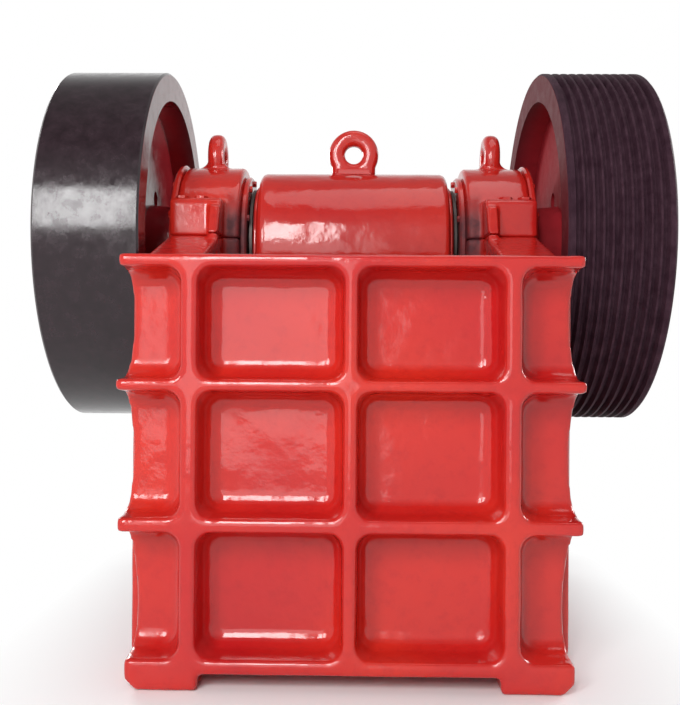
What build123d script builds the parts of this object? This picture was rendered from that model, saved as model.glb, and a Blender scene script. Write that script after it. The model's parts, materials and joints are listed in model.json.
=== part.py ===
from build123d import *
import math
import os

# A single-toggle jaw crusher, sizes in millimetres.
# X runs along the shaft, Y from the front wall to the rear, Z up from the floor.

# Shaft line
SHAFT_Y = 50.0
SHAFT_Z = 1113.0
ECCENTRICITY = 12.0
JAW_AXIS_Z = SHAFT_Z - ECCENTRICITY

# Front wall casting
FRONT_Y = -850.0
RIB_DEPTH = 105.0
WALL_THICKNESS = 60.0
PLATE_Y = FRONT_Y + RIB_DEPTH
WALL_BACK_Y = PLATE_Y + WALL_THICKNESS
SILL_Z = 37.0
SILL_TOP_Z = 70.0
LOWER_RIB_Z = (360.0, 391.0)
UPPER_RIB_Z = (683.0, 708.0)
DECK_Z = 995.0
DECK_THICKNESS = 27.0
SILL_HALF = 512.0
LOWER_RIB_HALF = 530.0
UPPER_RIB_HALF = 535.0
DECK_HALF = 530.0
CENTRE_RIB_HALF = 14.5
OUTER_RIB_X = (351.0, 388.0)
SCALLOP_DEPTH = 14.0
DRAFT_DEG = 4.0
POCKET_CORNER_R = 30.0
POCKET_FLOOR_CORNER_R = 58.0
POCKET_FLOOR_R = 44.0
RIM_R = 7.0
LEDGE_Y = -610.0
LEDGE_Z = (112.0, 150.0)

# Feet
FOOT_X = (345.0, SILL_HALF)
FOOT_CHAMFER = 26.0
FRONT_FOOT_BACK_Y = -540.0
REAR_FOOT_LENGTH = 150.0
ANCHOR_R = 20.0
ANCHOR_X = 455.0

# Side walls
SIDE_IN_X = 325.0
SIDE_OUT_X = 385.0
SIDE_RIB_X = 535.0
SIDE_DRAFT_DEG = 3.0
SIDE_CORNER_R = 28.0
SIDE_FLOOR_R = 18.0
SIDE_RIM_R = 6.0
DECK_BREAK_Y = -640.0
PEDESTAL_RIB_INSET = 74.0
SIDE_RIB_HALF = 18.0
SIDE_FRONT_RIB = 25.0
SIDE_REAR_RIB = 36.0
REAR_TOP_Z = 760.0

# Main bearing housings
HOUSING_X = (340.0, 528.0)
HOUSING_R = 250.0
HOUSING_BORE_R = 150.1
EAR_REACH = 50.0
EAR_HEIGHT = 112.0
EAR_R = 22.0
HOUSING_EDGE = 8.0
COVER_EDGE = 5.0
GUSSET_X = (SIDE_OUT_X, 416.0)
GUSSET_OUT = 64.0
GUSSET_TOP = 86.0
GUSSET_TOP_OUT = 26.0
INNER_COVER_X = 321.0
INNER_COVER_STEP = 28.0
OUTER_COVER_X = 546.0
OUTER_COVER_LIP = 8.0
COVER_BORE_R = 71.5
MAIN_BEARING_X = (392.0, 494.0)
COVER_CLEARANCE = 6.0
BEARING_CLEARANCE = 0.05
SPIGOT_CLEARANCE = 0.2

# Lifting eyes
EYE_R = 80.0
EYE_HOLE_R = 28.5
EYE_THICKNESS = 50.0
EYE_EDGE_R = 20.0
EYE_BASE_HALF = 70.0
EYE_FOOT_THICKNESS = 96.0
EYE_FOOT_HEIGHT = 34.0
EYE_FOOT_DEG = 38.0
EYE_SINK = 14.0
JAW_EYE_RISE = 65.0
CAP_EYE_X = 438.0
CAP_EYE_RISE = 32.0

# Shaft and wheels
JOURNAL_R = 70.0
ECCENTRIC_R = 85.0
WHEEL_SEAT_R = 65.0
ECCENTRIC_HALF = 306.0
JOURNAL_END_X = 552.0
SHAFT_END_X = 846.0
END_PLATE_X = 866.0
END_PLATE_R = 105.0
COLLAR_X = (308.0, 316.0)
COLLAR_R = 182.0
WHEEL_R = 540.0
WHEEL_X = (571.0, 861.0)
RIM_DEPTH = 84.0
RIM_INNER_R = WHEEL_R - RIM_DEPTH
RIM_EDGE = 6.0
RIM_DRAFT = 8.0
WEB_X = (650.0, 702.0)
HUB_R = 126.0
HUB_X = (556.0, SHAFT_END_X)
WHEEL_FIT = 0.1
WEB_HOLE_R = 28.0
WEB_HOLE_PITCH_R = 163.0
WEB_HOLE_COUNT = 4
WEB_HOLE_START_DEG = 76.0
GROOVE_COUNT = 10
GROOVE_PITCH = 25.5
GROOVE_TOP = 19.5
GROOVE_BOTTOM = 8.5
GROOVE_DEPTH = 17.0

# Swing jaw
JAW_HALF = 290.0
BARREL_R = 245.0
BARREL_EDGE_R = 18.0
JAW_BORE_R = 150.1
JAW_CORE_R = 118.0
JAW_BEARING_X = (180.0, 282.0)
JAW_COVER_X = 303.0
JAW_COVER_R = 205.0
JAW_COVER_BORE_R = 86.0
MOUTH_Y = -200.0
MOUTH_Z = 960.0
NIP_DEG = 22.0
JAW_FACE_V = 85.0
JAW_BACK_V = 235.0
JAW_SHOULDER_V = 392.0
JAW_SHOULDER_U = -100.0
JAW_NECK_U = -60.0
JAW_TOE_V = 28.0
JAW_TOE_U = 34.0
JAW_HEEL = (51.0, 70.0)
JAW_RIB_HALF = 24.0
JAW_SIDE_RIB = 36.0
JAW_POCKET_V = 150.0
JAW_POCKET_U = (70.0, 530.0)
JAW_POCKET_R = 30.0
WEDGE_U = -30.0
WEDGE_V = 32.0
WEDGE_NOSE = (30.0, 14.0)

# Jaw plates and cheek plates
PLATE_THICKNESS = 85.0
TOOTH_HEIGHT = 26.0
TOOTH_PITCH = 50.0
TOOTH_TIP = 14.0
FIXED_PLATE_HALF = 300.0
MOVING_PLATE_HALF = 285.0
FIXED_TEETH = 12
MOVING_TEETH = 11
FIXED_PLATE_Z = (LEDGE_Z[1], 950.0)
MOVING_PLATE_U = (40.0, 874.0)
CLAMP_HEIGHT = 36.0
CLAMP_DEPTH = 66.0
CHEEK_X = 302.0
CHEEK_SPLIT_Z = 558.0
CHEEK_TOP_Z = 945.0
CHEEK_GAP = 4.0
CHEEK_BACK_V = 60.0

# Toggle
TOGGLE_U = 640.0
TOGGLE_V = 300.0
TOGGLE_LENGTH = 460.0
TOGGLE_RISE_DEG = 20.0
TOGGLE_END_R = 27.0
TOGGLE_THICKNESS = 44.0
TOGGLE_HALF = 262.0
SEAT_HALF = 270.0
SEAT_HEIGHT = 90.0
SEAT_BAR_U = 150.0
SEAT_FIT = 0.3
RUNNING_GAP = 5.5
SEAT_DEPTH = 40.0
SEAT_SINK = 28.0
BLOCK_DEPTH = 60.0
BLOCK_HEIGHT = 150.0
BLOCK_HALF = 300.0
SHIM_DEPTH = 15.0

# Rear wall
REAR_WALL_THICKNESS = 150.0
REAR_WALL_Z = (165.0, 700.0)
REAR_POCKET_DEPTH = 80.0
REAR_POCKET_X = (45.0, 295.0)
REAR_POCKET_LIP = 40.0
SHELF_THICKNESS = 36.0

# Tension rod
ROD_DROP = 160.0
ROD_U = TOGGLE_U + ROD_DROP
ROD_V = 292.0
ROD_RISE_DEG = 11.5
ROD_R = 18.0
ROD_END_Y = 850.0
ROD_EYE_R = 38.0
ROD_EYE_HALF = 24.0
PIN_R = 17.0
PIN_HALF = 68.0
JAW_LUG_X = (30.0, 62.0)
JAW_LUG_R = 62.0
SPRING_R = 52.0
SPRING_WIRE_R = 11.0
SPRING_TURNS = 6
SPRING_LENGTH = 196.0
ROD_BOSS_R = 78.0
ROD_BOSS_OUT = 34.0
ROD_HOLE_R = 21.0
CUP_R = 72.0
CUP_THICKNESS = 16.0
NUT_FLATS = 55.0
NUT_THICKNESS = 29.0

SIN_NIP = math.sin(math.radians(NIP_DEG))
COS_NIP = math.cos(math.radians(NIP_DEG))


def jaw_point(u, v):
    """Y and Z of a point u down the moving jaw's face and v behind it."""
    return (MOUTH_Y - u * SIN_NIP + v * COS_NIP, MOUTH_Z - u * COS_NIP - v * SIN_NIP)


# Sizes and places that follow from those above
INNER_COVER_R = HOUSING_R - INNER_COVER_STEP
OUTER_COVER_R = HOUSING_R + OUTER_COVER_LIP
PEDESTAL_HALF = HOUSING_R + EAR_REACH
PEDESTAL_RIB_OFFSET = PEDESTAL_HALF - PEDESTAL_RIB_INSET
CAP_EYE_Z = SHAFT_Z + HOUSING_R + CAP_EYE_RISE
JAW_EYE_Z = JAW_AXIS_Z + BARREL_R + JAW_EYE_RISE
JAW_PLANE = Plane(origin=(0, MOUTH_Y, MOUTH_Z), x_dir=(1, 0, 0), z_dir=(0, COS_NIP, -SIN_NIP))
TOGGLE_FRONT = jaw_point(TOGGLE_U, TOGGLE_V)
TOGGLE_COS = math.cos(math.radians(TOGGLE_RISE_DEG))
TOGGLE_SIN = math.sin(math.radians(TOGGLE_RISE_DEG))
TOGGLE_REAR = (TOGGLE_FRONT[0] + TOGGLE_LENGTH * TOGGLE_COS, TOGGLE_FRONT[1] + TOGGLE_LENGTH * TOGGLE_SIN)
SEAT_Y = TOGGLE_REAR[0] + 2
BLOCK_Y = SEAT_Y + SEAT_DEPTH - SEAT_SINK
SHIM_Y = BLOCK_Y + BLOCK_DEPTH
REAR_WALL_Y = SHIM_Y + SHIM_DEPTH
REAR_Y = REAR_WALL_Y + REAR_WALL_THICKNESS
BLOCK_Z = (TOGGLE_REAR[1] - BLOCK_HEIGHT / 2, TOGGLE_REAR[1] + BLOCK_HEIGHT / 2)
ROD_PIN = jaw_point(ROD_U, ROD_V)
ROD_COS = math.cos(math.radians(ROD_RISE_DEG))
ROD_SIN = math.sin(math.radians(ROD_RISE_DEG))
ROD_PLANE = Plane(origin=(0, *ROD_PIN), x_dir=(1, 0, 0), z_dir=(0, ROD_COS, ROD_SIN))
ROD_LENGTH = (ROD_END_Y - ROD_PIN[0] - ROD_R * ROD_SIN) / ROD_COS
BOSS_END = (REAR_Y + ROD_BOSS_OUT - ROD_PIN[0]) / ROD_COS
SPRING_END = BOSS_END + SPRING_LENGTH
ROWS = ((SILL_TOP_Z, LOWER_RIB_Z[0]), (LOWER_RIB_Z[1], UPPER_RIB_Z[0]), (UPPER_RIB_Z[1], DECK_Z - DECK_THICKNESS))


def block(x, y, z):
    """A box between two values on each axis."""
    size = Box(x[1] - x[0], y[1] - y[0], z[1] - z[0])
    return Pos((x[0] + x[1]) / 2, (y[0] + y[1]) / 2, (z[0] + z[1]) / 2) * size


def disc(x, radius, y=SHAFT_Y, z=SHAFT_Z):
    """A cylinder lying along the shaft between two X values."""
    return Pos((x[0] + x[1]) / 2, y, z) * Rot(0, 90, 0) * Cylinder(radius, x[1] - x[0])


def bevelled_disc(x, radius, edge, y=SHAFT_Y, z=SHAFT_Z):
    """A cylinder along the shaft with both rims bevelled."""
    body = disc(x, radius, y, z)
    return chamfer(body.edges().filter_by(GeomType.CIRCLE), edge)


def side_shape(points, x):
    """A closed Y-Z outline carried from one X value to another."""
    outline = make_face(Polyline(*points, close=True))
    return extrude(Plane.YZ.offset(x[0]) * outline, x[1] - x[0])


def left_of(shape):
    """The matching piece on the left of the machine."""
    return mirror(shape, about=Plane.YZ)


def pocket(plane, outline, depth, draft, floor_radius):
    """A core print: a drafted recess with a rounded floor, sunk along the plane's normal."""
    core = extrude(plane * outline, depth, taper=draft)
    floor = core.faces().sort_by(Axis(plane.origin, plane.z_dir))[-1]
    return fillet(floor.edges(), floor_radius)


def front_pocket(x, z):
    """A pocket of the front wall: its corners open out towards a floor with a wide fillet."""
    centre = ((x[0] + x[1]) / 2, FRONT_Y, (z[0] + z[1]) / 2)
    mouth = Plane(origin=centre, x_dir=(1, 0, 0), z_dir=(0, 1, 0))
    width, height = x[1] - x[0], z[1] - z[0]
    draft = 2 * RIB_DEPTH * math.tan(math.radians(DRAFT_DEG))
    opening = mouth * RectangleRounded(width, height, POCKET_CORNER_R)
    floor = mouth.offset(RIB_DEPTH) * RectangleRounded(width - draft, height - draft, POCKET_FLOOR_CORNER_R)
    core = loft([opening, floor])
    return fillet(core.faces().sort_by(Axis.Y)[-1].edges(), POCKET_FLOOR_R)


def rounded_outline(points, radius):
    """A closed outline with every corner rounded."""
    outline = make_face(Polyline(*points, close=True))
    return fillet(outline.vertices(), radius)


def front_outline():
    """The front wall's outline: rib ends joined by scallops, with a chamfered foot each side."""
    rib_ends = (
        (DECK_HALF, DECK_Z, DECK_Z - DECK_THICKNESS),
        (UPPER_RIB_HALF, UPPER_RIB_Z[1], UPPER_RIB_Z[0]),
        (LOWER_RIB_HALF, LOWER_RIB_Z[1], LOWER_RIB_Z[0]),
        (SILL_HALF, SILL_TOP_Z, FOOT_CHAMFER),
    )
    edges = [Line((0, DECK_Z), (DECK_HALF, DECK_Z))]
    for (x, top, bottom), below in zip(rib_ends, rib_ends[1:] + (None,)):
        edges.append(Line((x, top), (x, bottom)))
        if below:
            waist = ((x + below[0]) / 2 - SCALLOP_DEPTH, (bottom + below[1]) / 2)
            edges.append(ThreePointArc((x, bottom), waist, (below[0], below[1])))
    foot = ((SILL_HALF, FOOT_CHAMFER), (SILL_HALF - FOOT_CHAMFER, 0), (FOOT_X[0], 0), (FOOT_X[0], SILL_Z), (0, SILL_Z))
    edges.append(Polyline(*foot))
    edges.append(Line((0, SILL_Z), (0, DECK_Z)))
    half = make_face(Curve() + edges)
    return half + mirror(half, about=Plane.YZ)


def front_wall():
    wall = extrude(Plane.XZ.offset(-WALL_BACK_Y) * front_outline(), WALL_BACK_Y - FRONT_Y)
    columns = ((CENTRE_RIB_HALF, OUTER_RIB_X[0]), (OUTER_RIB_X[1], 2 * SIDE_RIB_X - OUTER_RIB_X[1]))
    for low, high in ROWS:
        for x_in, x_out in columns:
            core = front_pocket((x_in, x_out), (low, high))
            wall -= core
            wall -= left_of(core)
    rims = wall.edges().filter_by_position(Axis.Y, FRONT_Y - 0.1, FRONT_Y + 0.1)
    wall = fillet(rims, RIM_R)
    return wall + block((-SIDE_IN_X + 1, SIDE_IN_X - 1), (WALL_BACK_Y, LEDGE_Y), LEDGE_Z)


def side_wall():
    """The right side wall with its bearing seat, ribs and feet."""
    front, rear = WALL_BACK_Y, REAR_Y
    pedestal = (SHAFT_Y - PEDESTAL_HALF, SHAFT_Y + PEDESTAL_HALF)
    plate = side_shape(
        ((front, SILL_Z), (rear, SILL_Z), (rear, REAR_TOP_Z), (SHAFT_Y + HOUSING_R, DECK_Z), (front, DECK_Z)),
        (SIDE_IN_X, SIDE_OUT_X),
    )
    outboard = side_shape(
        (
            (front, SILL_Z),
            (rear, SILL_Z),
            (rear, REAR_TOP_Z),
            (pedestal[1], SHAFT_Z),
            (pedestal[0], SHAFT_Z),
            (DECK_BREAK_Y, DECK_Z),
            (front, DECK_Z),
        ),
        (SIDE_OUT_X, SIDE_RIB_X),
    )
    for core in side_cores(pedestal):
        outboard -= core
    rims = outboard.edges().filter_by_position(Axis.X, SIDE_RIB_X - 0.1, SIDE_RIB_X + 0.1)
    outboard = fillet(rims, SIDE_RIM_R)
    wall = plate + outboard + bevelled_disc(HOUSING_X, HOUSING_R, HOUSING_EDGE)
    for way in (-1, 1):
        wall += pedestal_gusset(way, SHAFT_Z - EAR_HEIGHT, SHAFT_Z, GUSSET_OUT, GUSSET_OUT)
    wall -= block((0, 2 * SIDE_RIB_X), (SHAFT_Y - HOUSING_R, SHAFT_Y + HOUSING_R), (SHAFT_Z, SHAFT_Z + HOUSING_R))
    wall -= disc((0, HOUSING_X[0]), INNER_COVER_R + COVER_CLEARANCE)
    wall -= disc((HOUSING_X[1], 2 * SIDE_RIB_X), OUTER_COVER_R + COVER_CLEARANCE)
    wall -= disc(HOUSING_X, HOUSING_BORE_R)
    for foot in ((front, FRONT_FOOT_BACK_Y), (rear - REAR_FOOT_LENGTH, rear)):
        pad = block(FOOT_X, foot, (0, SILL_TOP_Z))
        wall += chamfer(pad.edges().filter_by(Axis.Y).sort_by(Axis.Z)[:2].sort_by(Axis.X)[-1], FOOT_CHAMFER)
        wall -= Pos(ANCHOR_X, sum(foot) / 2, SILL_TOP_Z / 2) * Cylinder(ANCHOR_R, SILL_TOP_Z)
    return wall


def pedestal_gusset(way, low, high, low_out, high_out):
    """An upright rib against the front (-1) or rear (1) of the right bearing pedestal."""
    face = SHAFT_Y + way * PEDESTAL_HALF
    outline = ((face, low), (face + way * low_out, low), (face + way * high_out, high), (face, high))
    return side_shape(outline, GUSSET_X)


def side_cores(pedestal):
    """Recesses between the ribs on the outside of the right wall."""
    face = Plane(origin=(SIDE_RIB_X, 0, 0), x_dir=(0, -1, 0), z_dir=(-1, 0, 0))
    depth = SIDE_RIB_X - SIDE_OUT_X
    rib_front, rib_rear = SHAFT_Y - PEDESTAL_RIB_OFFSET, SHAFT_Y + PEDESTAL_RIB_OFFSET
    columns = (
        (WALL_BACK_Y + SIDE_FRONT_RIB, rib_front - SIDE_RIB_HALF),
        (rib_front + SIDE_RIB_HALF, rib_rear - SIDE_RIB_HALF),
        (rib_rear + SIDE_RIB_HALF, REAR_Y - SIDE_REAR_RIB),
    )
    outlines = []
    for y0, y1 in columns:
        for z0, z1 in ROWS[:2]:
            outlines.append(((y0, z0), (y1, z0), (y1, z1), (y0, z1)))
    base, deck = ROWS[2]
    shelf = SHAFT_Z - DECK_THICKNESS
    (y0, y1), (y2, y3), (y4, y5) = columns
    outlines.append(((y0, base), (y1, base), (y1, shelf), (pedestal[0], shelf), (y0, deck)))
    seat_base = SHAFT_Z - HOUSING_R - DECK_THICKNESS
    outlines.append(((y2, base), (y3, base), (y3, seat_base), (y2, seat_base)))
    outlines.append(((y4, base), (y5, base), (y5, REAR_TOP_Z), (pedestal[1], shelf), (y4, shelf)))
    cores = []
    for outline in outlines:
        shape = rounded_outline([(-y, z) for y, z in outline], SIDE_CORNER_R)
        cores.append(pocket(face, shape, depth, SIDE_DRAFT_DEG, SIDE_FLOOR_R))
    return cores


def lifting_eye(z, foot_z):
    """A thick cast eye, seen face on along Y, its hole at height z, on a foot that flares each way in Y."""
    ring = Pos(0, z) * Circle(EYE_R)
    base = Pos(0, (z + foot_z) / 2) * Rectangle(2 * EYE_BASE_HALF, z - foot_z)
    profile = ring + base - Pos(0, z) * Circle(EYE_HOLE_R)
    eye = extrude(Plane.XZ * profile, EYE_THICKNESS / 2, both=True)
    rims = eye.edges().filter_by(Axis.Y, reverse=True).filter_by_position(Axis.Z, foot_z + 1, z + 2 * EYE_R)
    eye = fillet(rims, EYE_EDGE_R)
    foot = Plane.XY.offset(foot_z) * Rectangle(2 * EYE_BASE_HALF, EYE_FOOT_THICKNESS)
    return eye + extrude(foot, EYE_FOOT_HEIGHT, taper=EYE_FOOT_DEG)


def bearing_cap():
    """The right bearing cap: half a housing, two bolting ears and a lifting eye."""
    ears_y = (SHAFT_Y - PEDESTAL_HALF, SHAFT_Y + PEDESTAL_HALF)
    ears = block((SIDE_OUT_X, SIDE_RIB_X), ears_y, (SHAFT_Z, SHAFT_Z + EAR_HEIGHT))
    ears = fillet(ears.edges().filter_by(Axis.X).group_by(Axis.Z)[-1], EAR_R)
    cap = bevelled_disc(HOUSING_X, HOUSING_R, HOUSING_EDGE) + ears
    for way in (-1, 1):
        cap += pedestal_gusset(way, SHAFT_Z, SHAFT_Z + GUSSET_TOP, GUSSET_OUT, GUSSET_TOP_OUT)
    eye = Pos(CAP_EYE_X, SHAFT_Y, 0) * Rot(0, 0, 90) * lifting_eye(CAP_EYE_Z, SHAFT_Z + HOUSING_R - EYE_SINK)
    cap += eye
    cap -= block((0, 2 * SIDE_RIB_X), ears_y, (SHAFT_Z - HOUSING_R, SHAFT_Z))
    cap -= disc(HOUSING_X, HOUSING_BORE_R)
    cap -= disc((HOUSING_X[1], 2 * SIDE_RIB_X), OUTER_COVER_R + COVER_CLEARANCE)
    return cap


def stepped_ring(flange_x, flange_r, spigot_x, spigot_r, bore_r, y=SHAFT_Y, z=SHAFT_Z):
    """A bolted end cover: a flange with a spigot, bored for the shaft."""
    cover = bevelled_disc(flange_x, flange_r, COVER_EDGE, y, z) + disc(spigot_x, spigot_r, y, z)
    bore = (min(flange_x + spigot_x), max(flange_x + spigot_x))
    return cover - disc(bore, bore_r, y, z)


def inner_cover():
    spigot = (HOUSING_X[0], MAIN_BEARING_X[0])
    return stepped_ring(
        (INNER_COVER_X, HOUSING_X[0]), INNER_COVER_R, spigot, HOUSING_BORE_R - SPIGOT_CLEARANCE, COVER_BORE_R
    )


def outer_cover():
    spigot = (MAIN_BEARING_X[1], HOUSING_X[1])
    return stepped_ring(
        (HOUSING_X[1], OUTER_COVER_X), OUTER_COVER_R, spigot, HOUSING_BORE_R - SPIGOT_CLEARANCE, COVER_BORE_R
    )


def main_bearing():
    ring = disc(MAIN_BEARING_X, HOUSING_BORE_R - BEARING_CLEARANCE)
    return ring - disc(MAIN_BEARING_X, JOURNAL_R + BEARING_CLEARANCE)


def eccentric_shaft():
    shaft = disc((-SHAFT_END_X, SHAFT_END_X), WHEEL_SEAT_R)
    shaft += disc((-JOURNAL_END_X, JOURNAL_END_X), JOURNAL_R)
    return shaft + disc((-ECCENTRIC_HALF, ECCENTRIC_HALF), ECCENTRIC_R, z=JAW_AXIS_Z)


def seal_collar():
    return disc(COLLAR_X, COLLAR_R) - disc(COLLAR_X, JOURNAL_R + WHEEL_FIT)


def end_plate():
    plate = disc((SHAFT_END_X, END_PLATE_X), END_PLATE_R)
    return chamfer(plate.edges().sort_by(Axis.X)[-1], 4)


def wheel(grooved):
    """The right-hand wheel, turned from one half-section; the sheave has V grooves."""
    rim = [(RIM_INNER_R, WHEEL_X[1]), (WHEEL_R - RIM_EDGE, WHEEL_X[1]), (WHEEL_R, WHEEL_X[1] - RIM_EDGE)]
    if grooved:
        middle = (WHEEL_X[0] + WHEEL_X[1]) / 2
        for i in reversed(range(GROOVE_COUNT)):
            x = middle + (i - (GROOVE_COUNT - 1) / 2) * GROOVE_PITCH
            root = WHEEL_R - GROOVE_DEPTH
            rim += [(WHEEL_R, x + GROOVE_TOP / 2), (root, x + GROOVE_BOTTOM / 2)]
            rim += [(root, x - GROOVE_BOTTOM / 2), (WHEEL_R, x - GROOVE_TOP / 2)]
    rim += [(WHEEL_R, WHEEL_X[0] + RIM_EDGE), (WHEEL_R - RIM_EDGE, WHEEL_X[0]), (RIM_INNER_R, WHEEL_X[0])]
    web_in = [(RIM_INNER_R - RIM_DRAFT, WEB_X[0]), (HUB_R + RIM_DRAFT, WEB_X[0]), (HUB_R, HUB_X[0])]
    bore = [(WHEEL_SEAT_R + WHEEL_FIT, HUB_X[0]), (WHEEL_SEAT_R + WHEEL_FIT, HUB_X[1])]
    web_out = [(HUB_R, HUB_X[1]), (HUB_R + RIM_DRAFT, WEB_X[1]), (RIM_INNER_R - RIM_DRAFT, WEB_X[1])]
    section = make_face(Polyline(*rim, *web_in, *bore, *web_out, close=True))
    placed = Plane(origin=(0, SHAFT_Y, SHAFT_Z), x_dir=(0, 0, 1), z_dir=(0, 1, 0)) * section
    body = revolve(placed, Axis((0, SHAFT_Y, SHAFT_Z), (1, 0, 0)))
    for i in range(WEB_HOLE_COUNT):
        turn = math.radians(WEB_HOLE_START_DEG + i * 360 / WEB_HOLE_COUNT)
        y = SHAFT_Y + WEB_HOLE_PITCH_R * math.cos(turn)
        z = SHAFT_Z + WEB_HOLE_PITCH_R * math.sin(turn)
        body -= disc(WEB_X, WEB_HOLE_R, y, z)
    return body


def swing_jaw():
    """The swing jaw casting: a barrel for the bearings and a ribbed body behind the jaw plate."""
    barrel = disc((-JAW_HALF, JAW_HALF), BARREL_R, z=JAW_AXIS_Z)
    barrel = fillet(barrel.edges().filter_by(GeomType.CIRCLE), BARREL_EDGE_R)
    end_u = MOVING_PLATE_U[1]
    outline = (
        (SHAFT_Y, JAW_AXIS_Z),
        jaw_point(JAW_NECK_U, JAW_FACE_V),
        jaw_point(end_u, JAW_FACE_V),
        jaw_point(end_u, JAW_TOE_V),
        jaw_point(end_u + JAW_TOE_U, JAW_TOE_V),
        jaw_point(end_u + JAW_HEEL[0], JAW_HEEL[1]),
        jaw_point(end_u, JAW_BACK_V),
        jaw_point(JAW_POCKET_U[1] + JAW_POCKET_R, JAW_BACK_V),
        jaw_point(JAW_SHOULDER_U, JAW_SHOULDER_V),
    )
    jaw = barrel + side_shape(outline, (-JAW_HALF, JAW_HALF))
    seat_depth = BARREL_R - JAW_FACE_V
    seat_size = Box(2 * JAW_HALF, MOVING_PLATE_U[0] - WEDGE_U, seat_depth)
    jaw -= JAW_PLANE * Pos(0, (WEDGE_U + MOVING_PLATE_U[0]) / 2, JAW_FACE_V - seat_depth / 2) * seat_size
    x = (JAW_RIB_HALF, JAW_HALF - JAW_SIDE_RIB)
    u = JAW_POCKET_U
    reach = JAW_SHOULDER_V
    core = Pos((x[0] + x[1]) / 2, (u[0] + u[1]) / 2, JAW_POCKET_V + reach / 2) * Box(x[1] - x[0], u[1] - u[0], reach)
    core = fillet(core.edges().filter_by(Axis.Z), JAW_POCKET_R)
    core = fillet(core.faces().sort_by(Axis.Z)[0].edges(), JAW_POCKET_R / 2)
    core = JAW_PLANE * core
    core -= disc((0, JAW_HALF), BARREL_R, z=JAW_AXIS_Z)
    jaw -= core
    jaw -= left_of(core)
    for x0, x1 in (JAW_LUG_X, (-JAW_LUG_X[1], -JAW_LUG_X[0])):
        y, z = ROD_PIN[0], ROD_PIN[1] - ECCENTRICITY
        root = (jaw_point(TOGGLE_U + SEAT_BAR_U / 2 + SEAT_FIT, JAW_BACK_V), jaw_point(end_u, JAW_BACK_V))
        lug = disc((x0, x1), JAW_LUG_R, y, z)
        lug += side_shape((root[0], root[1], (y, z - JAW_LUG_R), (y + JAW_LUG_R, z), (y, z + JAW_LUG_R)), (x0, x1))
        jaw += lug
        jaw -= disc((x0, x1), PIN_R + ECCENTRICITY + RUNNING_GAP, y, z)
    jaw -= disc((-JAW_HALF, JAW_HALF), JAW_CORE_R, z=JAW_AXIS_Z)
    for x0, x1 in ((JAW_BEARING_X[0], JAW_HALF), (-JAW_HALF, -JAW_BEARING_X[0])):
        jaw -= disc((x0, x1), JAW_BORE_R, z=JAW_AXIS_Z)
    return jaw


def jaw_lifting_eye():
    eye = Pos(0, SHAFT_Y, 0) * lifting_eye(JAW_EYE_Z, JAW_AXIS_Z + BARREL_R - EYE_SINK)
    return eye - disc((-JAW_HALF, JAW_HALF), BARREL_R, z=JAW_AXIS_Z)


def jaw_bearing():
    ring = disc(JAW_BEARING_X, JAW_BORE_R - BEARING_CLEARANCE, z=JAW_AXIS_Z)
    return ring - disc(JAW_BEARING_X, ECCENTRIC_R + BEARING_CLEARANCE, z=JAW_AXIS_Z)


def jaw_cover():
    spigot = (JAW_BEARING_X[1], JAW_HALF)
    flange = (JAW_HALF, JAW_COVER_X)
    return stepped_ring(
        flange, JAW_COVER_R, spigot, JAW_BORE_R - SPIGOT_CLEARANCE, JAW_COVER_BORE_R, z=JAW_AXIS_Z
    )


def toothed_plate(half, teeth, length):
    """A corrugated crushing plate lying on its back, its teeth running along Y."""
    root = PLATE_THICKNESS - TOOTH_HEIGHT
    base = Pos(0, 0, root / 2) * Box(2 * half, length, root)
    foot = TOOTH_PITCH - TOOTH_TIP
    ridge = Plane.XZ.offset(-length / 2) * Polygon(
        (-foot / 2, root), (foot / 2, root), (TOOTH_TIP / 2, PLATE_THICKNESS), (-TOOTH_TIP / 2, PLATE_THICKNESS), align=None
    )
    tooth = extrude(ridge, length)
    for i in range(teeth):
        base += Pos((i - (teeth - 1) / 2) * TOOTH_PITCH, 0, 0) * tooth
    return base


def fixed_jaw_plate():
    height = FIXED_PLATE_Z[1] - FIXED_PLATE_Z[0]
    plate = toothed_plate(FIXED_PLATE_HALF, FIXED_TEETH, height)
    stand = Plane(origin=(0, WALL_BACK_Y, sum(FIXED_PLATE_Z) / 2), x_dir=(1, 0, 0), z_dir=(0, 1, 0))
    return stand * plate


def moving_jaw_plate():
    length = MOVING_PLATE_U[1] - MOVING_PLATE_U[0]
    plate = Pos(0, sum(MOVING_PLATE_U) / 2, JAW_FACE_V) * Rot(180, 0, 0) * toothed_plate(MOVING_PLATE_HALF, MOVING_TEETH, length)
    return JAW_PLANE * plate


def jaw_plate_wedge():
    top, bottom = WEDGE_U, MOVING_PLATE_U[0]
    outline = (
        jaw_point(top, WEDGE_V),
        jaw_point(top, JAW_FACE_V),
        jaw_point(bottom, JAW_FACE_V),
        jaw_point(bottom, WEDGE_V + WEDGE_NOSE[1]),
        jaw_point(bottom - WEDGE_NOSE[0], WEDGE_V),
    )
    return side_shape(outline, (-MOVING_PLATE_HALF, MOVING_PLATE_HALF))


def fixed_jaw_clamp():
    top = FIXED_PLATE_Z[1]
    bar = block((-FIXED_PLATE_HALF, FIXED_PLATE_HALF), (WALL_BACK_Y, WALL_BACK_Y + CLAMP_DEPTH), (top, top + CLAMP_HEIGHT))
    return chamfer(bar.edges().filter_by(Axis.X).sort_by(Axis.Y)[-2:].sort_by(Axis.Z)[-1], 14)


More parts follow.
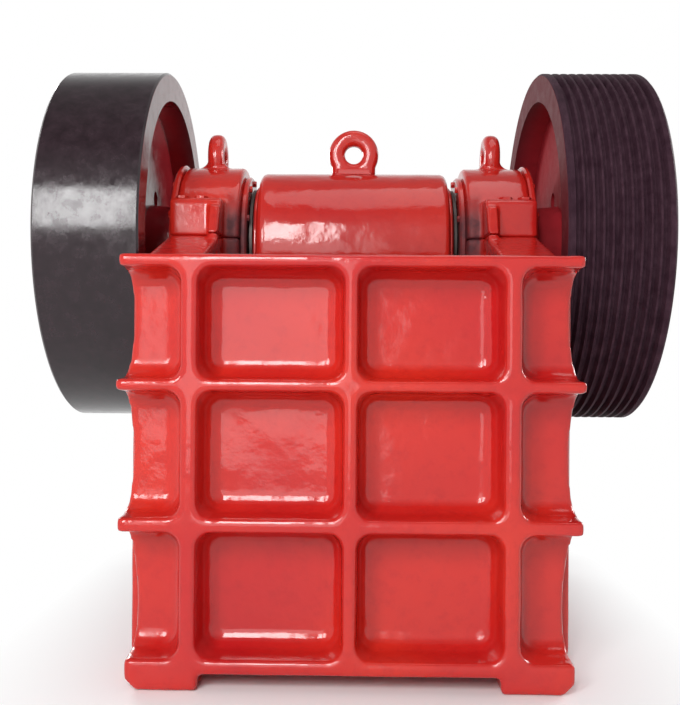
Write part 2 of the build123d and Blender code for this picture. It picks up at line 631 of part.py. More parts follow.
def cheek(upper):
    """One of the right-hand wear plates beside the crushing chamber."""
    front = WALL_BACK_Y + PLATE_THICKNESS + SEAT_FIT
    low, high = FIXED_PLATE_Z[0], CHEEK_SPLIT_Z - CHEEK_GAP / 2
    if upper:
        low, high = CHEEK_SPLIT_Z + CHEEK_GAP / 2, CHEEK_TOP_Z
    slope = math.tan(math.radians(NIP_DEG))
    back = [MOUTH_Y + CHEEK_BACK_V - (MOUTH_Z - z) * slope for z in (low, high)]
    return side_shape(((front, low), (back[0], low), (back[1], high), (front, high)), (CHEEK_X, SIDE_IN_X))


def toggle_plate():
    middle = ((TOGGLE_FRONT[0] + TOGGLE_REAR[0]) / 2, (TOGGLE_FRONT[1] + TOGGLE_REAR[1]) / 2)
    width = (-TOGGLE_HALF, TOGGLE_HALF)
    slab = Box(2 * TOGGLE_HALF, TOGGLE_LENGTH, TOGGLE_THICKNESS)
    plate = Pos(0, *middle) * Rot(TOGGLE_RISE_DEG, 0, 0) * slab
    for y, z in (TOGGLE_FRONT, TOGGLE_REAR):
        plate += disc(width, TOGGLE_END_R, y, z)
    return plate


def rear_toggle_seat():
    z = (TOGGLE_REAR[1] - SEAT_HEIGHT / 2, TOGGLE_REAR[1] + SEAT_HEIGHT / 2)
    bar = block((-SEAT_HALF, SEAT_HALF), (SEAT_Y, SEAT_Y + SEAT_DEPTH), z)
    return bar - disc((-SEAT_HALF, SEAT_HALF), TOGGLE_END_R + SEAT_FIT, *TOGGLE_REAR)


def jaw_toggle_seat():
    """The seat on the jaw, opened so that the jaw can be carried round without the toggle."""
    bar = JAW_PLANE * Pos(0, TOGGLE_U, (JAW_BACK_V + TOGGLE_V) / 2) * Box(2 * SEAT_HALF, SEAT_BAR_U, TOGGLE_V - JAW_BACK_V)
    gap = TOGGLE_END_R + ECCENTRICITY + RUNNING_GAP
    return bar - disc((-SEAT_HALF - 1, SEAT_HALF + 1), gap, TOGGLE_FRONT[0], TOGGLE_FRONT[1] - ECCENTRICITY)


def adjusting_block():
    seat_z = (TOGGLE_REAR[1] - SEAT_HEIGHT / 2, TOGGLE_REAR[1] + SEAT_HEIGHT / 2)
    body = block((-BLOCK_HALF, BLOCK_HALF), (BLOCK_Y, SHIM_Y), BLOCK_Z)
    return body - block((-SEAT_HALF, SEAT_HALF), (BLOCK_Y, SEAT_Y + SEAT_DEPTH), seat_z)


def shim_pack():
    return block((-BLOCK_HALF + 10, BLOCK_HALF - 10), (SHIM_Y, REAR_WALL_Y), (BLOCK_Z[0], BLOCK_Z[1] - 12))


def rear_wall():
    span = (-SIDE_IN_X, SIDE_IN_X)
    wall = block(span, (REAR_WALL_Y, REAR_Y), REAR_WALL_Z)
    wall += block(span, (BLOCK_Y, REAR_WALL_Y), (BLOCK_Z[0] - SHELF_THICKNESS, BLOCK_Z[0]))
    wall += block(span, (SHIM_Y, REAR_WALL_Y), (BLOCK_Z[1] + 1, BLOCK_Z[1] + SHELF_THICKNESS))
    rows = ((BLOCK_Z[0], BLOCK_Z[1] - REAR_POCKET_LIP / 2), (BLOCK_Z[1] + REAR_POCKET_LIP / 2, REAR_WALL_Z[1] - REAR_POCKET_LIP))
    width = REAR_POCKET_X[1] - REAR_POCKET_X[0]
    for low, high in rows:
        face = Plane(origin=(sum(REAR_POCKET_X) / 2, REAR_Y, (low + high) / 2), x_dir=(1, 0, 0), z_dir=(0, -1, 0))
        core = pocket(face, RectangleRounded(width, high - low, POCKET_CORNER_R), REAR_POCKET_DEPTH, DRAFT_DEG, SIDE_FLOOR_R)
        wall -= core
        wall -= left_of(core)
    start = (REAR_Y - REAR_POCKET_DEPTH - ROD_PIN[0]) / ROD_COS
    boss = ROD_PLANE * Pos(0, 0, (start + BOSS_END) / 2) * Cylinder(ROD_BOSS_R, BOSS_END - start)
    wall += boss
    return wall - ROD_PLANE * Pos(0, 0, BOSS_END / 2) * Cylinder(ROD_HOLE_R, BOSS_END + 10)


def tension_rod():
    """The rod with the eye and the cross pin that hold the jaw back on its toggle."""
    rod = Pos(0, 0, ROD_LENGTH / 2) * Cylinder(ROD_R, ROD_LENGTH)
    rod = ROD_PLANE * rod
    rod += disc((-ROD_EYE_HALF, ROD_EYE_HALF), ROD_EYE_R, *ROD_PIN)
    return rod + disc((-PIN_HALF, PIN_HALF), PIN_R, *ROD_PIN)


def tension_spring():
    pitch = (SPRING_LENGTH - 2 * SPRING_WIRE_R) / SPRING_TURNS
    path = Helix(pitch, pitch * SPRING_TURNS, SPRING_R)
    wire = RegularPolygon(SPRING_WIRE_R, 6)
    coil = sweep(Plane(origin=path @ 0, z_dir=path % 0) * wire, path)
    return ROD_PLANE * Pos(0, 0, BOSS_END + SPRING_WIRE_R) * coil


def spring_cup():
    cup = Cylinder(CUP_R, CUP_THICKNESS) - Cylinder(ROD_R + SEAT_FIT, CUP_THICKNESS)
    return ROD_PLANE * Pos(0, 0, SPRING_END + CUP_THICKNESS / 2) * cup


def rod_nuts():
    """A nut and its lock nut on the end of the rod, with a small step between them."""
    flats = RegularPolygon(NUT_FLATS / 2, 6, major_radius=False)
    nuts = extrude(flats, 2 * NUT_THICKNESS) - Cylinder(ROD_R + SEAT_FIT, 6 * NUT_THICKNESS)
    groove = Pos(0, 0, NUT_THICKNESS) * (Cylinder(NUT_FLATS, 2) - Cylinder(NUT_FLATS / 2 - 1, 2))
    return ROD_PLANE * Pos(0, 0, SPRING_END + CUP_THICKNESS) * (nuts - groove)


def build():
    """Every piece by name, the paired ones with a left and a right."""
    pieces = {
        "front_wall": front_wall(),
        "rear_wall": rear_wall(),
        "fixed_jaw_plate": fixed_jaw_plate(),
        "fixed_jaw_clamp": fixed_jaw_clamp(),
        "toggle_plate": toggle_plate(),
        "rear_toggle_seat": rear_toggle_seat(),
        "adjusting_block": adjusting_block(),
        "shim_pack": shim_pack(),
        "tension_rod": tension_rod(),
        "tension_spring": tension_spring(),
        "spring_cup": spring_cup(),
        "rod_nuts": rod_nuts(),
        "eccentric_shaft": eccentric_shaft(),
        "flywheel": left_of(wheel(grooved=False)),
        "drive_sheave": wheel(grooved=True),
        "swing_jaw": swing_jaw(),
        "jaw_lifting_eye": jaw_lifting_eye(),
        "moving_jaw_plate": moving_jaw_plate(),
        "jaw_plate_wedge": jaw_plate_wedge(),
        "jaw_toggle_seat": jaw_toggle_seat(),
    }
    pairs = {
        "side_wall": side_wall(),
        "bearing_cap": bearing_cap(),
        "main_bearing": main_bearing(),
        "inner_cover": inner_cover(),
        "outer_cover": outer_cover(),
        "upper_cheek": cheek(upper=True),
        "lower_cheek": cheek(upper=False),
        "seal_collar": seal_collar(),
        "end_plate": end_plate(),
        "jaw_bearing": jaw_bearing(),
        "jaw_cover": jaw_cover(),
    }
    for name, right in pairs.items():
        pieces["right_" + name] = right
        pieces["left_" + name] = left_of(right)
    return pieces


os.makedirs("parts", exist_ok=True)
for name, piece in build().items():
    export_step(piece, f"parts/{name}.step")
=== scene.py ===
import json
import math

import bmesh
import bpy
from mathutils import Matrix, Vector


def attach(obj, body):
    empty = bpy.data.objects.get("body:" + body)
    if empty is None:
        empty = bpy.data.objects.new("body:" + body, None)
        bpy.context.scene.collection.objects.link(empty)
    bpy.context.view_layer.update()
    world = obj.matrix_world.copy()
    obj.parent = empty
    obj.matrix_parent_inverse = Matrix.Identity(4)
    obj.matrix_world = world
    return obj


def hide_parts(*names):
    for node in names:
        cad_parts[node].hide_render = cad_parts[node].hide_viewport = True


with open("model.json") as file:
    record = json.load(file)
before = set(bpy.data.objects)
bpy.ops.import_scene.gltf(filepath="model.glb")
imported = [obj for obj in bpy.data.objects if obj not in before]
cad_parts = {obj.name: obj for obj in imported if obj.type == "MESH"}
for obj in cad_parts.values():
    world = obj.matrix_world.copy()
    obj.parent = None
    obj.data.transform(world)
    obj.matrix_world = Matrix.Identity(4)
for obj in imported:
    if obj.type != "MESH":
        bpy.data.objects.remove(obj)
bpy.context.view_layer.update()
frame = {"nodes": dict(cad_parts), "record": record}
nodes = frame["nodes"]
collection = bpy.context.scene.collection

# Bodies, and places repeated from the solids, in metres
FRAME, SHAFT_BODY, JAW = "frame", "shaft", "jaw"
SHAFT = Vector((0, 0.050, 1.113))

# Red paint, and the painted shade that darkens it round the shaft between the swing jaw and the bearings
RED_DEEP, RED_BRIGHT, RED_SCUFF = (0.49, 0.012, 0.014), (0.61, 0.027, 0.015), (0.72, 0.18, 0.16)
RED_GLOSS = 0.52
PAINTED_SHADE = (0.060, 0.010, 0.015)
PAINTED_SHADE_ROUGHNESS = 0.75
PAINTED_SHADE_INNER_X, PAINTED_SHADE_OUTER_X = (0.297, 0.304), (0.372, 0.392)
PAINTED_SHADE_REACH = (0.262, 0.300)
PAINTED_SHADE_TOP = (1.17, 1.27)

# Wheel paint: red web and hub, black running face, and rim sides darkened as painted shade
WEB_DEEP, WEB_BRIGHT, WEB_SCUFF = (0.24, 0.015, 0.022), (0.36, 0.020, 0.028), (0.38, 0.12, 0.11)
SHADED_RIM_SIDE = (0.110, 0.015, 0.021)
RIM_SIDE_RADIUS = (0.450, 0.456)
RIM_FACE_X = (0.5735, 0.8585)
GROOVE_RADIUS, RIM_RADIUS = 0.5, 0.5345

# Fasteners: across flats, head height, washer radius
INNER_COVER_BOLT = (0.018, 0.0075, 0.0)
OUTER_COVER_BOLT = (0.022, 0.009, 0.0)
END_PLATE_BOLT = (0.030, 0.013, 0.022)
CAP_NUT = (0.036, 0.009, 0.025)
CHEEK_BOLT = (0.030, 0.004, 0.0)
CLAMP_BOLT = (0.030, 0.016, 0.024)

# Bolt circles: face, radius, count, first angle
INNER_COVER_CIRCLE = (0.321, 0.204, 10, 0.3)
OUTER_COVER_CIRCLE = (0.546, 0.226, 12, 0.2)
END_PLATE_CIRCLE = (0.866, 0.062, 3, 0.5)

# Other bolt places
EAR_TOP = SHAFT.z + 0.1105
CAP_NUT_X, CAP_NUT_REACH = (0.450, 0.505), 0.258
CHEEK_FACE_X = 0.302
UPPER_CHEEK_BOLTS = ((-0.53, 0.86), (-0.40, 0.86), (-0.50, 0.62), (-0.36, 0.62))
LOWER_CHEEK_BOLTS = ((-0.54, 0.48), (-0.40, 0.48), (-0.55, 0.24))
CLAMP_BOLT_X = (-0.24, -0.08, 0.08, 0.24)
CLAMP_BOLT_Y, CLAMP_TOP = -0.650, 0.986

# Tension rod, spring and thread
ROD_PIN = Vector((0, -0.22895, 0.10887))
ROD_RISE = math.radians(11.5)
ROD_WAY = Vector((0, math.cos(ROD_RISE), math.sin(ROD_RISE)))
ROD_R, ROD_LENGTH = 0.018, 1.0971
SPRING_START, SPRING_LENGTH, SPRING_TURNS = 0.79944, 0.174, 6
SPRING_R, WIRE_R = 0.052, 0.011
STEPS_PER_TURN, WIRE_SIDES = 40, 14
THREAD_LENGTH, THREAD_PITCH, THREAD_SIDES = 0.0385, 0.0035, 24

# Stage
AMBIENT = 0.19
FLOOR_COLOUR, FLOOR_ROUGHNESS, FLOOR_HALF = (0.92, 0.92, 0.93, 1), 0.7, 30
FOOTPRINT_CENTRE, FOOTPRINT_HALF = (0, -0.17, 0), (0.52, 0.68, 0)
SHADOW_REACH = 0.4
EDGE_ANGLE = math.radians(28)

# Lamps: name, place, aim, width, height, watts
LAMPS = (
    ("window", (-0.65, -4.3, 2.7), (0, -0.4, 0.8), 0.72, 2.0, 76),
    ("door", (-0.65, -4.4, 0.9), (-0.2, -0.4, 0.6), 1.5, 1.6, 15),
    ("left_window", (-1.80, -4.0, 2.3), (-0.7, -0.4, 1.0), 0.78, 1.7, 64),
    ("top", (0.4, -0.6, 4.4), (0, 0, 1), 2.5, 2.0, 24),
    ("rear_left", (-3.0, 3.4, 2.2), (0, 0.2, 0.7), 1.8, 1.6, 100),
    ("rear_right", (3.8, 1.6, 2.2), (0, 0.1, 0.8), 1.8, 1.6, 100),
)

# The photograph's camera: place in metres, turns, focal length and frame height in pixels
CAMERA_AT = (0.011, -2.952, 0.766)
YAW, PITCH, ROLL = math.radians(-0.97), math.radians(-0.16), math.radians(-0.42)
SENSOR, FOCAL_PIXELS, FRAME_PIXELS = 36, 929, 705


# Node graph helpers
def new_material(name):
    material = bpy.data.materials.new(name)
    material.use_nodes = True
    tree = material.node_tree
    shader = tree.nodes["Principled BSDF"]
    place = tree.nodes.new("ShaderNodeTexCoord")
    return material, tree, shader, place.outputs["Object"]


def noise(tree, place, scale, detail=3.0, rough=0.5):
    node = tree.nodes.new("ShaderNodeTexNoise")
    node.inputs["Scale"].default_value = scale
    node.inputs["Detail"].default_value = detail
    node.inputs["Roughness"].default_value = rough
    tree.links.new(place, node.inputs["Vector"])
    return node.outputs["Fac"]


def ramp(tree, value, span, to):
    """Maps the span of a value to another pair of values, and holds it beyond both ends."""
    node = tree.nodes.new("ShaderNodeMapRange")
    node.inputs["From Min"].default_value, node.inputs["From Max"].default_value = span
    node.inputs["To Min"].default_value, node.inputs["To Max"].default_value = to
    tree.links.new(value, node.inputs["Value"])
    return node.outputs["Result"]


def maths(tree, operation, first, second=0):
    node = tree.nodes.new("ShaderNodeMath")
    node.operation = operation
    for socket, value in zip(node.inputs, (first, second)):
        if isinstance(value, (int, float)):
            socket.default_value = value
        else:
            tree.links.new(value, socket)
    return node.outputs[0]


def product(tree, first, *others):
    for other in others:
        first = maths(tree, "MULTIPLY", first, other)
    return first


def mix(tree, factor, first, second):
    node = tree.nodes.new("ShaderNodeMix")
    node.data_type = "RGBA"
    tree.links.new(factor, node.inputs["Factor"])
    colours = [s for s in node.inputs if s.type == "RGBA"]
    for socket, value in zip(colours, (first, second)):
        if isinstance(value, tuple):
            socket.default_value = (*value, 1)
        else:
            tree.links.new(value, socket)
    return [s for s in node.outputs if s.type == "RGBA"][0]


def shade(colour, factor):
    return tuple(factor * c for c in colour)


def bump(tree, shader, layers):
    """Chains (height, strength, depth in metres) layers onto the shader's normal."""
    normal = None
    for height, strength, depth in layers:
        node = tree.nodes.new("ShaderNodeBump")
        node.inputs["Strength"].default_value = strength
        node.inputs["Distance"].default_value = depth
        tree.links.new(height, node.inputs["Height"])
        if normal:
            tree.links.new(normal, node.inputs["Normal"])
        normal = node.outputs["Normal"]
    tree.links.new(normal, shader.inputs["Normal"])


def axes(tree, place):
    split = tree.nodes.new("ShaderNodeSeparateXYZ")
    tree.links.new(place, split.inputs[0])
    return split.outputs


def shaft_distance(tree, place):
    """Distance of each point from the shaft line."""
    y = maths(tree, "SUBTRACT", place["Y"], SHAFT.y)
    z = maths(tree, "SUBTRACT", place["Z"], SHAFT.z)
    return maths(tree, "SQRT", maths(tree, "ADD", product(tree, y, y), product(tree, z, z)))


# Paints and metals
def mottle(tree, place):
    """Small patches of thicker and thinner paint."""
    return noise(tree, place, 38, 5, 0.65)


def enamel(tree, place, deep, bright, scuff):
    """Brushed-on enamel: slow changes of shade, thin paint on edges and painted shade in corners."""
    slow = noise(tree, place, 2.3, 4)
    colour = mix(tree, ramp(tree, slow, (0.3, 0.7), (0, 1)), deep, bright)
    patches = mottle(tree, place)
    colour = mix(tree, ramp(tree, patches, (0.5, 0.8), (0, 0.45)), colour, shade(deep, 0.8))
    shape = tree.nodes.new("ShaderNodeNewGeometry").outputs["Pointiness"]
    # Painted shade: concave corners, found from the mesh's pointiness, are darkened in patches
    corners = ramp(tree, shape, (0.47, 0.36), (0, 0.55))
    painted_corner_shade = product(tree, corners, ramp(tree, patches, (0.3, 0.7), (0.5, 1)))
    colour = mix(tree, painted_corner_shade, colour, shade(deep, 0.3))
    chips = noise(tree, place, 55, 6, 0.7)
    edges = ramp(tree, shape, (0.56, 0.66), (0, 1))
    worn = product(tree, edges, ramp(tree, chips, (0.56, 0.62), (0, 0.85)))
    return mix(tree, worn, colour, scuff)


def painted_bearing_shade(tree, place):
    """Painted shade round the shaft, beside the swing jaw, where the bearing housings lie in shadow."""
    at = axes(tree, place)
    across = maths(tree, "ABSOLUTE", at["X"])
    inner = ramp(tree, across, PAINTED_SHADE_INNER_X, (0, 1))
    outer = ramp(tree, across, PAINTED_SHADE_OUTER_X, (1, 0))
    near = ramp(tree, shaft_distance(tree, at), PAINTED_SHADE_REACH, (1, 0))
    below = ramp(tree, at["Z"], PAINTED_SHADE_TOP, (1, 0))
    patchy = ramp(tree, mottle(tree, place), (0.3, 0.6), (0.75, 0.97))
    return product(tree, inner, outer, near, below, patchy)


def red_enamel(name):
    material, tree, shader, place = new_material(name)
    painted_shade = painted_bearing_shade(tree, place)
    colour = enamel(tree, place, RED_DEEP, RED_BRIGHT, RED_SCUFF)
    # Painted shade: the zone round the shaft beside the swing jaw is darkened and made rougher
    tree.links.new(mix(tree, painted_shade, colour, PAINTED_SHADE), shader.inputs["Base Color"])
    sheen = ramp(tree, noise(tree, place, 7, 4, 0.6), (0.35, 0.65), (0.06, 0.18))
    dulled = maths(tree, "MULTIPLY", painted_shade, PAINTED_SHADE_ROUGHNESS)
    tree.links.new(maths(tree, "MAXIMUM", sheen, dulled), shader.inputs["Roughness"])
    shader.inputs["Specular IOR Level"].default_value = RED_GLOSS
    swell = noise(tree, place, 11, 3)
    ripple = noise(tree, place, 34, 3, 0.55)
    sand = noise(tree, place, 130, 4, 0.6)
    bump(tree, shader, ((swell, 0.35, 0.006), (ripple, 0.28, 0.0022), (sand, 0.12, 0.0010)))
    return material


def wheel_enamel(name, turned, gloss, rough, black_low, black_high):
    """Black running face, red web and hub, split by distance from the shaft line."""
    material, tree, shader, place = new_material(name)
    at = axes(tree, place)
    across = maths(tree, "ABSOLUTE", at["X"])
    radius = shaft_distance(tree, at)
    past_inner = maths(tree, "GREATER_THAN", across, RIM_FACE_X[0])
    short_of_outer = maths(tree, "LESS_THAN", across, RIM_FACE_X[1])
    grooved = maths(tree, "GREATER_THAN", radius, GROOVE_RADIUS)
    running = product(tree, past_inner, short_of_outer, grooved)
    rim = maths(tree, "MAXIMUM", running, maths(tree, "GREATER_THAN", radius, RIM_RADIUS))
    streak = noise(tree, place, 26, 5, 0.7)
    black = mix(tree, ramp(tree, streak, (0.35, 0.75), (0, 1)), black_low, black_high)
    web = enamel(tree, place, WEB_DEEP, WEB_BRIGHT, WEB_SCUFF)
    # Painted shade: the rim's side faces are darkened towards the rim
    red = mix(tree, ramp(tree, radius, RIM_SIDE_RADIUS, (0, 1)), web, SHADED_RIM_SIDE)
    tree.links.new(mix(tree, rim, red, black), shader.inputs["Base Color"])
    sheen = ramp(tree, streak, (0.3, 0.7), (rough - 0.1, rough + 0.1))
    tree.links.new(sheen, shader.inputs["Roughness"])
    shader.inputs["Specular IOR Level"].default_value = gloss
    swell = noise(tree, place, 16, 4, 0.6)
    pits = noise(tree, place, 210, 4, 0.65)
    bump(tree, shader, ((swell, 0.14, 0.003), (pits, turned, 0.0008)))
    return material


def bare_metal(name, dark, pale, rough, metallic, scale):
    """Machined or cast metal with smudges, pits and a faint skin of oil or rust."""
    material, tree, shader, place = new_material(name)
    cloud = noise(tree, place, scale / 8, 4, 0.6)
    fine = noise(tree, place, scale, 6, 0.7)
    colour = mix(tree, ramp(tree, cloud, (0.35, 0.68), (0, 1)), dark, pale)
    colour = mix(tree, ramp(tree, fine, (0.55, 0.75), (0, 0.5)), colour, shade(dark, 0.45))
    tree.links.new(colour, shader.inputs["Base Color"])
    sheen = ramp(tree, fine, (0.3, 0.7), (rough - 0.1, rough + 0.12))
    tree.links.new(sheen, shader.inputs["Roughness"])
    shader.inputs["Metallic"].default_value = metallic
    bump(tree, shader, ((cloud, 0.2, 0.002), (fine, 0.35, 0.0008)))
    return material


# The finish of each slot, and of the pieces that differ from their slot
FINISH = {
    "red_enamel": red_enamel("red_enamel"),
    "manganese_steel": bare_metal(
        "manganese_steel", (0.13, 0.12, 0.115), (0.28, 0.26, 0.235), rough=0.52, metallic=0.8, scale=45),
    "machined_steel": bare_metal(
        "machined_steel", (0.36, 0.36, 0.36), (0.55, 0.55, 0.54), rough=0.32, metallic=1.0, scale=90),
    "grey_iron": bare_metal(
        "grey_iron", (0.10, 0.10, 0.10), (0.17, 0.165, 0.16), rough=0.6, metallic=0.6, scale=70),
    "black_enamel": bare_metal(
        "black_steel", (0.014, 0.013, 0.013), (0.04, 0.036, 0.034), rough=0.38, metallic=0.3, scale=80),
}
# Oiled steel for the seal collars, made darker as painted shade round the shaft
OILED_AND_SHADED = bare_metal(
    "oiled_shaded_steel", (0.05, 0.04, 0.038), (0.10, 0.08, 0.075), rough=0.45, metallic=0.7, scale=70)
OWN_FINISH = {
    "flywheel": wheel_enamel(
        "flywheel_enamel", turned=0.12, gloss=0.50, rough=0.17,
        black_low=(0.012, 0.004, 0.007), black_high=(0.028, 0.013, 0.019)),
    "drive_sheave": wheel_enamel(
        "sheave_enamel", turned=0.2, gloss=0.04, rough=0.52,
        black_low=(0.033, 0.014, 0.022), black_high=(0.072, 0.036, 0.051)),
    "left_seal_collar": OILED_AND_SHADED,
    "right_seal_collar": OILED_AND_SHADED,
}


def coat(obj, material):
    obj.data.materials.clear()
    obj.data.materials.append(material)


def paint(obj, slot_name):
    coat(obj, FINISH[slot_name])


# CAD nodes keep their shape and take a finish
slot_of = {p["node"]: p["material_slot"] for p in frame["record"]["subparts"]}
for name, obj in nodes.items():
    coat(obj, OWN_FINISH.get(name, FINISH[slot_of[name]]))


# Castings: the solid's own form, with edges softened and faces gently uneven as sand castings are
def casting(name, body, voxel, passes, wobble):
    mesh = nodes[name].data.copy()
    mesh.name = name + "_cast"
    obj = bpy.data.objects.new(name + "_cast", mesh)
    collection.objects.link(obj)
    remesh = obj.modifiers.new("skin", "REMESH")
    remesh.mode = "VOXEL"
    remesh.voxel_size = voxel
    soften = obj.modifiers.new("soften", "SMOOTH")
    soften.factor = 0.5
    soften.iterations = passes
    clouds = bpy.data.textures.new(name + "_sand", "CLOUDS")
    clouds.noise_scale = 0.09
    clouds.noise_depth = 2
    uneven = obj.modifiers.new("uneven", "DISPLACE")
    uneven.texture = clouds
    uneven.texture_coords = "LOCAL"
    uneven.mid_level = 0.5
    uneven.strength = wobble
    graph = bpy.context.evaluated_depsgraph_get()
    done = bpy.data.meshes.new_from_object(obj.evaluated_get(graph))
    obj.modifiers.clear()
    obj.data = done
    for polygon in done.polygons:
        polygon.use_smooth = True
    paint(obj, "red_enamel")
    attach(obj, body)
    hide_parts(name)


casting("front_wall", FRAME, voxel=0.0066, passes=3, wobble=0.0022)
casting("left_side_wall", FRAME, voxel=0.0078, passes=2, wobble=0.002)
casting("right_side_wall", FRAME, voxel=0.0078, passes=2, wobble=0.002)
casting("rear_wall", FRAME, voxel=0.008, passes=2, wobble=0.002)
casting("left_bearing_cap", FRAME, voxel=0.006, passes=3, wobble=0.0015)
casting("right_bearing_cap", FRAME, voxel=0.006, passes=3, wobble=0.0015)
casting("swing_jaw", JAW, voxel=0.0078, passes=2, wobble=0.002)
casting("jaw_lifting_eye", JAW, voxel=0.004, passes=3, wobble=0.001)


# Small fasteners, joined into one mesh for each group
def around(count, start=0.0):
    """Cosine and sine of evenly spaced angles."""
    turns = [start + 2 * math.pi * i / count for i in range(count)]
    return [(math.cos(turn), math.sin(turn)) for turn in turns]


def facing(at, axis):
    """Places a shape at a point, with its own Z along an axis."""
    return Matrix.Translation(at) @ Vector(axis).to_track_quat("Z", "Y").to_matrix().to_4x4()


def join_rings(shape, low, high):
    for i in range(len(low)):
        j = (i + 1) % len(low)
        shape.faces.new((low[i], low[j], high[j], high[i]))


def add_turned(shape, place, profile, sides):
    """Adds a capped solid of straight sides through (radius, height) stations."""
    rings = []
    for radius, height in profile:
        points = [Vector((radius * c, radius * s, height)) for c, s in around(sides)]
        rings.append([shape.verts.new(place @ point) for point in points])
    for low, high in zip(rings, rings[1:]):
        join_rings(shape, low, high)
    shape.faces.new(list(reversed(rings[0])))
    shape.faces.new(rings[-1])


def add_bolt(shape, place, flats, height, washer):
    """Adds a hexagon head with its top edge turned off, on a washer if that has a radius."""
    base = 0.0
    if washer:
        base = 0.18 * height
        add_turned(shape, place, [(washer, 0.0), (washer, 0.8 * base), (0.95 * washer, base)], 20)
    radius = flats / math.sqrt(3)
    profile = [(radius, 0.0), (radius, 0.82 * height), (0.86 * radius, height)]
    add_turned(shape, place @ Matrix.Translation((0, 0, base)), profile, 6)


def piece_from(shape, name, body, slot_name):
    mesh = bpy.data.meshes.new(name)
    shape.to_mesh(mesh)
    shape.free()
    obj = bpy.data.objects.new(name, mesh)
    collection.objects.link(obj)
    paint(obj, slot_name)
    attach(obj, body)
    return obj


def bolt_circle(sign, face, radius, count, start):
    """Points round the shaft line on a face of the left or right side."""
    ways = around(count, start)
    return [Vector((sign * face, SHAFT.y + radius * c, SHAFT.z + radius * s)) for c, s in ways]


def bolt_group(name, body, slot_name, points, axis, size):
    shape = bmesh.new()
    for at in points:
        add_bolt(shape, facing(at, axis), *size)
    piece_from(shape, name, body, slot_name)


for side, sign in (("left", -1), ("right", 1)):
    inward, outward, upward = (-sign, 0, 0), (sign, 0, 0), (0, 0, 1)
    inner = bolt_circle(sign, *INNER_COVER_CIRCLE)
    bolt_group(side + "_inner_cover_bolts", FRAME, "red_enamel", inner, inward, INNER_COVER_BOLT)
    outer = bolt_circle(sign, *OUTER_COVER_CIRCLE)
    bolt_group(side + "_outer_cover_bolts", FRAME, "red_enamel", outer, outward, OUTER_COVER_BOLT)
    ends = bolt_circle(sign, *END_PLATE_CIRCLE)
    bolt_group(side + "_end_plate_bolts", SHAFT_BODY, "machined_steel", ends, outward, END_PLATE_BOLT)
    rows = (SHAFT.y - CAP_NUT_REACH, SHAFT.y + CAP_NUT_REACH)
    ears = [Vector((sign * x, y, EAR_TOP)) for x in CAP_NUT_X for y in rows]
    bolt_group(side + "_cap_nuts", FRAME, "red_enamel", ears, upward, CAP_NUT)
    heads = [Vector((sign * CHEEK_FACE_X, y, z)) for y, z in UPPER_CHEEK_BOLTS + LOWER_CHEEK_BOLTS]
    bolt_group(side + "_cheek_bolts", FRAME, "manganese_steel", heads, inward, CHEEK_BOLT)

clamp = [Vector((x, CLAMP_BOLT_Y, CLAMP_TOP)) for x in CLAMP_BOLT_X]
bolt_group("clamp_bolts", FRAME, "machined_steel", clamp, (0, 0, 1), CLAMP_BOLT)


# The tension spring as round wire
def spring_coil(name):
    shape = bmesh.new()
    start = ROD_PIN + ROD_WAY * SPRING_START
    across = Vector((1, 0, 0))
    up = ROD_WAY.cross(across).normalized()
    climb = SPRING_LENGTH / SPRING_TURNS / (2 * math.pi)
    steps = STEPS_PER_TURN * SPRING_TURNS
    previous = None
    for step in range(steps + 1):
        turn = 2 * math.pi * step / STEPS_PER_TURN
        out = across * math.cos(turn) + up * math.sin(turn)
        tangent = (up * math.cos(turn) - across * math.sin(turn)) * SPRING_R + ROD_WAY * climb
        lift = tangent.cross(out).normalized()
        centre = start + out * SPRING_R + ROD_WAY * (SPRING_LENGTH * step / steps)
        points = [centre + out * (WIRE_R * c) + lift * (WIRE_R * s) for c, s in around(WIRE_SIDES)]
        ring = [shape.verts.new(point) for point in points]
        if previous:
            join_rings(shape, previous, ring)
        else:
            shape.faces.new(list(reversed(ring)))
        previous = ring
    shape.faces.new(previous)
    bmesh.ops.recalc_face_normals(shape, faces=shape.faces)
    for face in shape.faces:
        face.smooth = len(face.verts) == 4
    obj = piece_from(shape, name, FRAME, "black_enamel")
    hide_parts("tension_spring")


spring_coil("spring_coil")


# Thread on the end of the rod, beyond the lock nut
def rod_thread(name):
    shape = bmesh.new()
    profile = [(0.9 * ROD_R, 0.0)]
    for i in range(int(THREAD_LENGTH / THREAD_PITCH)):
        profile.append((1.03 * ROD_R, (i + 0.5) * THREAD_PITCH))
        profile.append((0.96 * ROD_R, (i + 1) * THREAD_PITCH))
    start = ROD_PIN + ROD_WAY * ROD_LENGTH - ROD_WAY * THREAD_LENGTH
    add_turned(shape, facing(start, ROD_WAY), profile, THREAD_SIDES)
    piece_from(shape, name, FRAME, "machined_steel")


rod_thread("rod_thread")

# Smooth shading on turned pieces, sharp where faces meet at an angle
for obj in nodes.values():
    if obj.visible_get():
        for polygon in obj.data.polygons:
            polygon.use_smooth = True
        edge_split = obj.modifiers.new("edges", "EDGE_SPLIT")
        edge_split.split_angle = EDGE_ANGLE


# Stage: pale floor, soft light, the photograph's camera
def lamp(name, at, aim, width, height, watts):
    data = bpy.data.lights.new(name, "AREA")
    data.shape = "RECTANGLE"
    data.size, data.size_y = width, height
    data.energy = watts
    obj = bpy.data.objects.new(name, data)
    obj.location = at
    obj.rotation_euler = (Vector(aim) - Vector(at)).to_track_quat("-Z", "Y").to_euler()
    collection.objects.link(obj)


def seen(tree):
    """1 for rays from the camera, from a mirror or through glass, 0 for rays that carry light."""
    path = tree.nodes.new("ShaderNodeLightPath")
    rays = maths(tree, "MAXIMUM", path.outputs["Is Camera Ray"], path.outputs["Is Glossy Ray"])
    return maths(tree, "MAXIMUM", rays, path.outputs["Is Transmission Ray"])


def vector_maths(tree, operation, first, second=None):
    node = tree.nodes.new("ShaderNodeVectorMath")
    node.operation = operation
    tree.links.new(first, node.inputs[0])
    if second:
        node.inputs[1].default_value = second
    return node.outputs


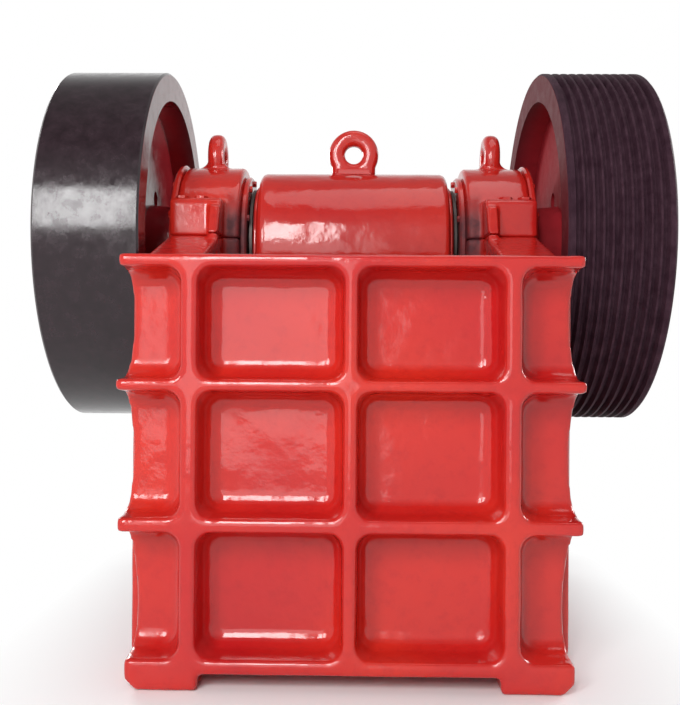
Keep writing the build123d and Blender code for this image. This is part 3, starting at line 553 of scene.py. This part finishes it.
def floor_paper(name):
    """A pale floor that keeps the shadow near the machine and is white paper further out."""
    material, tree, shader, place = new_material(name)
    shader.inputs["Base Color"].default_value = FLOOR_COLOUR
    shader.inputs["Roughness"].default_value = FLOOR_ROUGHNESS
    offset = vector_maths(tree, "SUBTRACT", place, FOOTPRINT_CENTRE)["Vector"]
    offset = vector_maths(tree, "ABSOLUTE", offset)["Vector"]
    offset = vector_maths(tree, "SUBTRACT", offset, FOOTPRINT_HALF)["Vector"]
    offset = vector_maths(tree, "MAXIMUM", offset, (0, 0, 0))["Vector"]
    away = vector_maths(tree, "LENGTH", offset)["Value"]
    far = product(tree, ramp(tree, away, (0, SHADOW_REACH), (0, 1)), seen(tree))
    paper = tree.nodes.new("ShaderNodeEmission")
    blend = tree.nodes.new("ShaderNodeMixShader")
    tree.links.new(far, blend.inputs[0])
    tree.links.new(shader.outputs[0], blend.inputs[1])
    tree.links.new(paper.outputs[0], blend.inputs[2])
    tree.links.new(blend.outputs[0], tree.nodes["Material Output"].inputs["Surface"])
    return material


def studio_world(name):
    """White behind the machine, darker overhead, and a weak even light."""
    world = bpy.data.worlds.new(name)
    world.use_nodes = True
    tree = world.node_tree
    background = tree.nodes["Background"]
    background.inputs["Color"].default_value = (1, 1, 1, 1)
    direction = axes(tree, tree.nodes.new("ShaderNodeTexCoord").outputs["Generated"])
    paper_white = ramp(tree, direction["Z"], (0.5, 0.85), (1.0, 0.3))
    shown = product(tree, seen(tree), maths(tree, "SUBTRACT", paper_white, AMBIENT))
    tree.links.new(maths(tree, "ADD", shown, AMBIENT), background.inputs["Strength"])
    return world


def photo_camera(name):
    level = math.cos(PITCH)
    forward = Vector((math.sin(YAW) * level, math.cos(YAW) * level, -math.sin(PITCH)))
    flat_right = Vector((math.cos(YAW), -math.sin(YAW), 0))
    down = forward.cross(flat_right)
    right = flat_right * math.cos(ROLL) + down * math.sin(ROLL)
    up = right.cross(forward)
    data = bpy.data.cameras.new(name)
    data.sensor_width = SENSOR
    data.lens = SENSOR * FOCAL_PIXELS / FRAME_PIXELS
    camera = bpy.data.objects.new(name, data)
    turn = Matrix((right, up, -forward)).transposed().to_4x4()
    camera.matrix_world = Matrix.Translation(CAMERA_AT) @ turn
    collection.objects.link(camera)
    return camera


floor_shape = bmesh.new()
bmesh.ops.create_grid(floor_shape, x_segments=2, y_segments=2, size=FLOOR_HALF)
floor_mesh = bpy.data.meshes.new("floor")
floor_shape.to_mesh(floor_mesh)
floor_shape.free()
floor_mesh.materials.append(floor_paper("white_floor"))
floor = bpy.data.objects.new("floor", floor_mesh)
collection.objects.link(floor)

for row in LAMPS:
    lamp(*row)
bpy.context.scene.world = studio_world("studio")
bpy.context.scene.camera = photo_camera("camera")
bpy.context.scene.view_settings.view_transform = "Standard"
